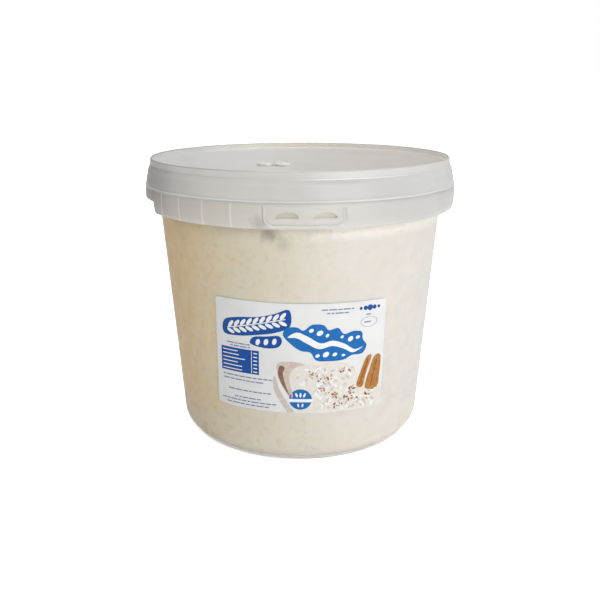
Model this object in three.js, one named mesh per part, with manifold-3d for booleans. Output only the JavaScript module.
// Shut tub of rice pudding: a round drafted tub with a tamper collar round its mouth, a lid that
// snaps over the mouth, the pudding that fills the tub, and a label on the front of the wall.
// Millimetres, +Z up. The origin is the centre of the foot, on the surface that the tub stands on.
// The front, with the label and the tear tab, faces -Y. Angles go round from the front, positive
// towards +X.

import * as THREE from 'three';
import { mergeVertices } from 'three/addons/utils/BufferGeometryUtils.js';
import Module from 'manifold-3d';

// ---- Driving dimensions ---------------------------------------------------------------------

const HEIGHT = 132;                 // foot to the top of the lid's rim
const COLLAR_R = 72;                // widest radius, at the collar
const FOOT_WALL_R = 57.6;           // outside of the wall, carried down to the foot
const DRAFT = 0.074;                // outward slope of the wall, for each millimetre of height
const WALL = 1.2;                   // thickness of the tub's wall
const FLOOR = 1.4;                  // thickness of the tub's floor
const CORNER_R = 10.9;              // round between the foot and the wall

const ROUND_SIDES = 64;             // facets round the tub and the lid
const PUDDING_SIDES = 48;           // facets round the pudding
const CORNER_STEPS = 7;             // facets across the round at the foot
const CLEARANCE = 0.3;              // gap between pieces that touch

const foot = { recess: 1.0, innerR: 44.5 };

const collar = {
  ledgeTop: 120.1,                  // top of the ledge that joins the collar to the wall
  ledge: 1.3,                       // thickness of that ledge
  skirt: 1.1,                       // thickness of the hanging skirt
  bottom: 109.7,                    // lower edge of the skirt
};

const mouth = { top: 127.7, beadBottom: 124.4, beadR: 69.3 };

const webs = { count: 31, pitch: 10.737, first: -22.35, thickness: 0.7, gap: 0.6 };

// The tear tab: a flap of the collar, set off by a slot on each side, with a lip along its foot.
const tab = {
  from: -11.5,
  to: 14.2,
  slot: 1.0,
  slotTop: 118.4,
  bottom: 110.6,
  cornerR: 4,
  border: 0.8,
  pocket: 0.5,                      // how far the face is set back inside its border
  lipTop: 113.9,
  faceTop: 119,
};
const fingerHole = { at: [-4.1, 7.8], width: 9.3, height: 2.4, flat: 114.3 };

// How far in, out and down the blocks reach that cut the collar.
const tabCut = { innerR: COLLAR_R - 3.4, outerR: COLLAR_R + 2, bottom: collar.bottom - 2 };

// Where the skirt is cut away on the left, for a finger under the lid.
const pryNotch = { from: -103, to: -62, top: 115, innerR: 67.6 };

const lid = {
  foot: 120.4,                      // lower edge of the lid's skirt
  shoulder: 126.9,                  // where the skirt turns in to the stacking rim
  rimFoot: 128.7,
  rimR: 69.3,                       // outside of the stacking rim
  rimInnerR: 68.4,
  panelTop: 129.2,
  panel: 1.15,                      // thickness of the panel
  skirt: 0.95,                      // thickness of the skirt
  plugR: 65.4,                      // outside of the ring that plugs the mouth
  plugBottom: 124.6,
};
const dials = { at: [[-15.3, -21.5], [-7.6, -22.5]], outerR: 3.5, innerR: 2.8, height: 1.4 };

const pudding = { level: 112.4, wave: 0.7, grainHeight: 0.55, grainR: 4.2, grains: 110, seed: 7 };

const label = { width: 77, height: 50.4, middle: 52.3, turn: 0.9, cornerR: 1.6, thickness: 0.2 };

const colours = {
  tub: 0xdedcd4,
  lid: 0xd6d7d5,
  pudding: 0xe6dcc6,
  label: 0xf4f4f2,
};

// ---- Shared shapes --------------------------------------------------------------------------

const wasm = await Module();
wasm.setup();

const radians = THREE.MathUtils.degToRad;
const slope = Math.atan(DRAFT);

// The outside radius of the wall at a height.
function wallR(z) {
  return FOOT_WALL_R + DRAFT * z;
}

// The radius at a height of a surface that lies a distance inside the wall's outside.
function insetR(z, inset) {
  return wallR(z) - inset / Math.cos(slope);
}

// The rounded corner between a level floor and the drafted wall, from the floor up.
function cornerArc(radius, floorZ, inset, steps = CORNER_STEPS) {
  const centreZ = floorZ + radius;
  const centreR = insetR(centreZ, inset + radius);
  const points = [];
  for (let i = 0; i <= steps; i++) {
    const angle = -Math.PI / 2 + (i / steps) * (Math.PI / 2 - slope);
    points.push([centreR + radius * Math.cos(angle), centreZ + radius * Math.sin(angle)]);
  }
  return points;
}

// Only positions, with shared corners merged and flat slivers at the axis dropped.
function closedGeometry(geometry) {
  geometry.deleteAttribute('normal');
  geometry.deleteAttribute('uv');
  const merged = mergeVertices(geometry, 1e-4);
  const corners = merged.index.array;
  const kept = [];
  for (let i = 0; i < corners.length; i += 3) {
    const [a, b, c] = [corners[i], corners[i + 1], corners[i + 2]];
    if (a !== b && b !== c && c !== a) kept.push(a, b, c);
  }
  merged.setIndex(kept);
  return merged;
}

// A solid turned round the Z axis from a profile of [radius, height] points. The profile starts
// and ends on the axis, and goes up the outside first.
function turned(profile, sides = ROUND_SIDES) {
  const points = profile.map(([r, z]) => new THREE.Vector2(r, z));
  return closedGeometry(new THREE.LatheGeometry(points, sides).rotateX(Math.PI / 2));
}

function toManifold(geometry) {
  return new wasm.Manifold(new wasm.Mesh({
    numProp: 3,
    vertProperties: new Float32Array(geometry.attributes.position.array),
    triVerts: new Uint32Array(geometry.index.array),
  }));
}

function fromManifold(solid) {
  const { vertProperties, triVerts } = solid.getMesh();
  const geometry = new THREE.BufferGeometry();
  geometry.setAttribute('position', new THREE.BufferAttribute(vertProperties, 3));
  geometry.setIndex(new THREE.BufferAttribute(triVerts, 1));
  return geometry;
}

// A block bounded by two radii, two heights and two angles from the front.
function ringBlock(innerR, outerR, bottom, top, from, to) {
  const start = radians(from - 90);
  const end = radians(to - 90);
  const outline = new THREE.Shape();
  outline.absarc(0, 0, outerR, start, end, false);
  outline.absarc(0, 0, innerR, end, start, true);
  const steps = Math.max(2, Math.ceil((to - from) / (360 / ROUND_SIDES)));
  const geometry = new THREE.ExtrudeGeometry(outline, {
    depth: top - bottom,
    bevelEnabled: false,
    curveSegments: steps,
  });
  return toManifold(closedGeometry(geometry.translate(0, 0, bottom)));
}

// A flat outline, drawn sideways and upwards as seen from outside, pushed through the collar
// along the radius at an angle from the front.
function radialBlock(outline, innerR, outerR, angle, curveSegments = 8) {
  const geometry = new THREE.ExtrudeGeometry(outline, {
    depth: outerR - innerR,
    bevelEnabled: false,
    curveSegments,
  });
  geometry.rotateX(Math.PI / 2).translate(0, -innerR, 0).rotateZ(radians(angle));
  return toManifold(closedGeometry(geometry));
}

// A repeatable stream of numbers between 0 and 1.
function randomStream(seed) {
  let state = seed >>> 0;
  return () => {
    state = (Math.imul(state, 1664525) + 1013904223) >>> 0;
    return state / 4294967296;
  };
}

function namedMesh(name, geometry, colour, roughness) {
  geometry.computeVertexNormals();
  const material = new THREE.MeshStandardMaterial({ color: colour, roughness, metalness: 0 });
  const mesh = new THREE.Mesh(geometry, material);
  mesh.name = name;
  return mesh;
}

// ---- Tub ------------------------------------------------------------------------------------

// The foot, the wall's outside, the collar, the bead at the mouth, then down the inside.
function tubProfile() {
  const ledgeBottom = collar.ledgeTop - collar.ledge;
  const skirtInnerR = COLLAR_R - collar.skirt;
  const innerFloor = foot.recess + FLOOR;
  const inside = cornerArc(CORNER_R - innerFloor, innerFloor, WALL);
  return [
    [0, foot.recess],
    [foot.innerR - foot.recess, foot.recess],
    [foot.innerR, 0],
    ...cornerArc(CORNER_R, 0, 0),
    [wallR(ledgeBottom), ledgeBottom],
    [skirtInnerR, ledgeBottom],
    [skirtInnerR - 0.1, collar.bottom + 4.5],
    [skirtInnerR - 0.7, collar.bottom + 0.6],
    [skirtInnerR - 0.5, collar.bottom],
    [COLLAR_R - 1.0, collar.bottom],
    [COLLAR_R - 0.5, collar.bottom + 0.8],
    [COLLAR_R - 0.1, collar.bottom + 2.6],
    [COLLAR_R, collar.bottom + 4.8],
    [COLLAR_R - 0.15, collar.ledgeTop - 1.2],
    [COLLAR_R - 0.5, collar.ledgeTop],
    [wallR(collar.ledgeTop), collar.ledgeTop],
    [wallR(mouth.beadBottom), mouth.beadBottom],
    [mouth.beadR - 0.4, mouth.beadBottom + 0.3],
    [mouth.beadR, mouth.beadBottom + 1.3],
    [mouth.beadR, mouth.top - 0.8],
    [mouth.beadR - 0.6, mouth.top],
    [insetR(mouth.top, WALL) + 0.6, mouth.top],
    [insetR(mouth.top - 0.6, WALL), mouth.top - 0.6],
    ...inside.reverse(),
    [0, innerFloor],
  ];
}

// Thin upright webs that brace the collar's skirt from the wall.
function addWebs(tub) {
  const innerR = insetR(collar.bottom, WALL / 3);
  const outerR = COLLAR_R - collar.skirt - 0.2;
  const bottom = collar.bottom + webs.gap;
  const top = collar.ledgeTop - collar.ledge / 2;
  for (let i = 0; i < webs.count; i++) {
    const box = new THREE.BoxGeometry(webs.thickness, outerR - innerR, top - bottom);
    box.translate(0, -(innerR + outerR) / 2, (bottom + top) / 2);
    box.rotateZ(radians(webs.first - i * webs.pitch));
    tub = tub.add(toManifold(closedGeometry(box)));
  }
  return tub;
}

// The slot beside the tear tab, which widens round the tab's lower corner. side is -1 on the
// left of the tab and 1 on the right.
function tabSlot(side) {
  const cornerZ = tab.bottom + tab.cornerR;
  const outline = new THREE.Shape();
  outline.moveTo(side * tab.slot, tabCut.bottom);
  outline.lineTo(side * tab.slot, tab.slotTop);
  outline.lineTo(0, tab.slotTop);
  outline.lineTo(0, cornerZ);
  const start = side > 0 ? 0 : Math.PI;
  outline.absarc(-side * tab.cornerR, cornerZ, tab.cornerR, start, -Math.PI / 2, side > 0);
  outline.lineTo(-side * tab.cornerR, tabCut.bottom);
  outline.closePath();
  const angle = side > 0 ? tab.to : tab.from;
  return radialBlock(outline, tabCut.innerR, tabCut.outerR, angle);
}

// A half-moon finger hole, flat side down.
function fingerHoleBlock(angle) {
  const outline = new THREE.Shape();
  outline.moveTo(-fingerHole.width / 2, fingerHole.flat);
  outline.lineTo(fingerHole.width / 2, fingerHole.flat);
  outline.absellipse(0, fingerHole.flat, fingerHole.width / 2, fingerHole.height, 0, Math.PI);
  outline.closePath();
  return radialBlock(outline, tabCut.innerR, tabCut.outerR, angle, 10);
}

// The slots, the shorter foot, the face set back inside its border, and the finger holes.
function cutTearTab(tub) {
  const { innerR, outerR, bottom } = tabCut;
  const corner = THREE.MathUtils.radToDeg(tab.cornerR / COLLAR_R) - 0.05;
  const border = THREE.MathUtils.radToDeg(tab.border / COLLAR_R);
  const faceR = COLLAR_R - tab.pocket;
  const cuts = [
    ringBlock(innerR, outerR, bottom, tab.bottom, tab.from + corner, tab.to - corner),
    ringBlock(faceR, outerR, tab.lipTop, tab.faceTop, tab.from + border, tab.to - border),
    tabSlot(-1),
    tabSlot(1),
    ...fingerHole.at.map(fingerHoleBlock),
  ];
  return cuts.reduce((solid, cut) => solid.subtract(cut), tub);
}

function cutPryNotch(tub) {
  const { innerR, top, from, to } = pryNotch;
  return tub.subtract(ringBlock(innerR, tabCut.outerR, tabCut.bottom, top, from, to));
}

function makeTub() {
  let tub = addWebs(toManifold(turned(tubProfile())));
  tub = cutPryNotch(cutTearTab(tub));
  return namedMesh('tub', fromManifold(tub), colours.tub, 0.35);
}

// ---- Lid ------------------------------------------------------------------------------------

// The underside from the axis out, down the plug, over the mouth and down the skirt, then the
// outside of the skirt, the stacking rim and the recessed panel.
function lidProfile() {
  const panelBottom = lid.panelTop - lid.panel;
  const skirtR = COLLAR_R - 0.4;
  return [
    [0, panelBottom],
    [lid.plugR - 1.2, panelBottom],
    [lid.plugR - 1.0, lid.plugBottom],
    [lid.plugR - 0.2, lid.plugBottom],
    [lid.plugR, panelBottom],
    [mouth.beadR - 0.3, panelBottom],
    [mouth.beadR + 0.4, lid.shoulder],
    [mouth.beadR + 0.5, mouth.beadBottom + 0.4],
    [mouth.beadR - 0.2, mouth.beadBottom - 0.6],
    [mouth.beadR - 0.2, mouth.beadBottom - 1.4],
    [skirtR - lid.skirt, lid.foot + 0.8],
    [skirtR - lid.skirt + 0.1, lid.foot],
    [skirtR - 0.1, lid.foot],
    [skirtR, lid.foot + 0.3],
    [skirtR - 0.25, lid.foot + 1.8],
    [skirtR - 0.55, lid.foot + 3.6],
    [skirtR - 0.95, lid.foot + 5.4],
    [skirtR - 1.15, lid.shoulder],
    [skirtR - 1.6, lid.shoulder + 0.9],
    [lid.rimR + 0.2, lid.rimFoot],
    [lid.rimR, lid.rimFoot + 0.8],
    [lid.rimR - 0.05, HEIGHT - 0.4],
    [lid.rimR - 0.35, HEIGHT],
    [lid.rimInnerR + 0.25, HEIGHT],
    [lid.rimInnerR - 0.1, HEIGHT - 0.3],
    [lid.rimInnerR - 0.7, lid.panelTop + 1],
    [lid.rimInnerR - 1.1, lid.panelTop + 0.3],
    [lid.rimInnerR - 1.9, lid.panelTop],
    [0, lid.panelTop],
  ];
}

// A low round moulding mark on the panel: a ring with a pointer across it.
function dialMark([x, y]) {
  const base = lid.panelTop - 0.4;
  const depth = lid.panelTop + dials.height - base;
  const ring = new THREE.Shape().absarc(0, 0, dials.outerR, 0, 2 * Math.PI, false);
  ring.holes.push(new THREE.Path().absarc(0, 0, dials.innerR, 0, 2 * Math.PI, true));
  const pointer = new THREE.Shape([
    new THREE.Vector2(-0.3, -dials.innerR - 0.2),
    new THREE.Vector2(0.3, -dials.innerR - 0.2),
    new THREE.Vector2(0.3, dials.innerR + 0.2),
    new THREE.Vector2(-0.3, dials.innerR + 0.2),
  ]);
  const parts = [ring, pointer].map((outline) => {
    const geometry = new THREE.ExtrudeGeometry(outline, { depth, bevelEnabled: false, curveSegments: 10 });
    return toManifold(closedGeometry(geometry.translate(x, y, base)));
  });
  return parts[0].add(parts[1]);
}

function makeLid() {
  let solid = toManifold(turned(lidProfile()));
  for (const place of dials.at) solid = solid.add(dialMark(place));
  return namedMesh('lid', fromManifold(solid), colours.lid, 0.3);
}

// ---- Pudding --------------------------------------------------------------------------------

// Height of the pudding's surface over its level: slow waves, and the swell of grains under it.
function surfaceHeight() {
  const random = randomStream(pudding.seed);
  const reach = insetR(pudding.level, WALL);
  const grains = Array.from({ length: pudding.grains }, () => {
    const r = reach * Math.sqrt(random());
    const angle = 2 * Math.PI * random();
    return { x: r * Math.cos(angle), y: r * Math.sin(angle), height: 0.5 + 0.5 * random() };
  });
  return (x, y) => {
    const wave = pudding.wave * Math.sin(x / 13 + 0.6) * Math.cos(y / 17 - 0.4);
    const swell = grains.reduce((sum, grain) => {
      const distance = Math.hypot(x - grain.x, y - grain.y) / pudding.grainR;
      return sum + grain.height * Math.exp(-distance * distance);
    }, 0);
    return wave + pudding.grainHeight * swell;
  };
}

function makePudding() {
  const inset = WALL + CLEARANCE;
  const floorZ = foot.recess + FLOOR + CLEARANCE;
  const edgeR = insetR(pudding.level, inset);
  const rings = 11;
  const profile = [[0, floorZ], ...cornerArc(CORNER_R - floorZ, floorZ, inset, 5)];
  for (const z of [40, 70, 90, 102]) profile.push([insetR(z, inset), z]);
  for (let i = 0; i < rings; i++) profile.push([edgeR * (1 - i / rings), pudding.level]);
  profile.push([0, pudding.level]);
  const geometry = turned(profile, PUDDING_SIDES);
  const rise = surfaceHeight();
  const place = geometry.attributes.position;
  for (let i = 0; i < place.count; i++) {
    if (place.getZ(i) < pudding.level - 1) continue;
    place.setZ(i, pudding.level + rise(place.getX(i), place.getY(i)));
  }
  return namedMesh('pudding', geometry, colours.pudding, 0.5);
}

// ---- Label ----------------------------------------------------------------------------------

// A thin sheet with round corners, laid on the drafted wall and turned a little in its plane.
function makeLabel() {
  const columns = 32;
  const cornerColumns = 4;
  const half = label.width / 2;
  const box = closedGeometry(new THREE.BoxGeometry(columns, 1, 2, columns, 1, 1));
  const place = box.attributes.position;
  const turn = radians(-label.turn);
  for (let i = 0; i < place.count; i++) {
    const column = Math.abs(place.getX(i));
    const flat = columns / 2 - cornerColumns;
    const cornerAngle = (Math.max(0, column - flat) / cornerColumns) * (Math.PI / 2);
    const reach = column <= flat
      ? ((half - label.cornerR) * column) / flat
      : half - label.cornerR + label.cornerR * Math.sin(cornerAngle);
    const side = Math.sign(place.getX(i)) * reach;
    const rise = 2 * place.getY(i) * (label.height / 2 - label.cornerR * (1 - Math.cos(cornerAngle)));
    const s = side * Math.cos(turn) - rise * Math.sin(turn);
    const z = label.middle + side * Math.sin(turn) + rise * Math.cos(turn);
    const out = CLEARANCE + (place.getZ(i) > 0 ? label.thickness : 0);
    const angle = s / wallR(z);
    const r = wallR(z) + out;
    place.setXYZ(i, r * Math.sin(angle), -r * Math.cos(angle), z);
  }
  return namedMesh('label', box, colours.label, 0.4);
}

// ---- Assembly -------------------------------------------------------------------------------

const tubOfPudding = new THREE.Group();
tubOfPudding.add(makeTub(), makeLid(), makePudding(), makeLabel());

export default tubOfPudding;
